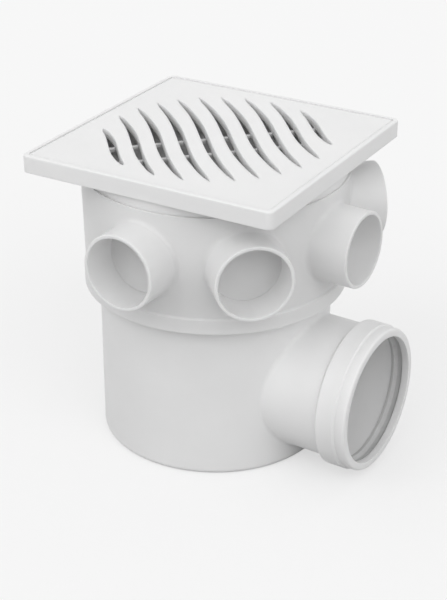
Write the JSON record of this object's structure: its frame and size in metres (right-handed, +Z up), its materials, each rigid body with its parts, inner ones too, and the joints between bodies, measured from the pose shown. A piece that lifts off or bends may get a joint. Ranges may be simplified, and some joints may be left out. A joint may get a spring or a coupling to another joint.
{
  "type": "floor trap box",
  "caption": "White plastic floor trap box: round pot with a ring-seal side outlet, a wider ring of blind pipe inlets, and a square frame with a lift-out wave-slot grille.",
  "frame": {"origin": "centre of the pot's flat underside", "axes": "+Z up along the pot's axis, +X out of the outlet socket, frame sides turned 2.4 degrees from X and Y, as it was set in the ring"},
  "size_m": [0.1943, 0.196, 0.185],
  "materials": {
    "white_pvc": "satin moulded",
    "grey_rubber": "matt"
  },
  "bodies": {
    "root": {"trap_pot": "white_pvc", "inlet_ring": "white_pvc", "siphon_hood": "white_pvc", "cleaning_plug": "white_pvc", "grille_frame": "white_pvc", "grille": "white_pvc", "outlet_seal": "grey_rubber", "rim_gasket": "grey_rubber"}
  },
  "joints": []
}
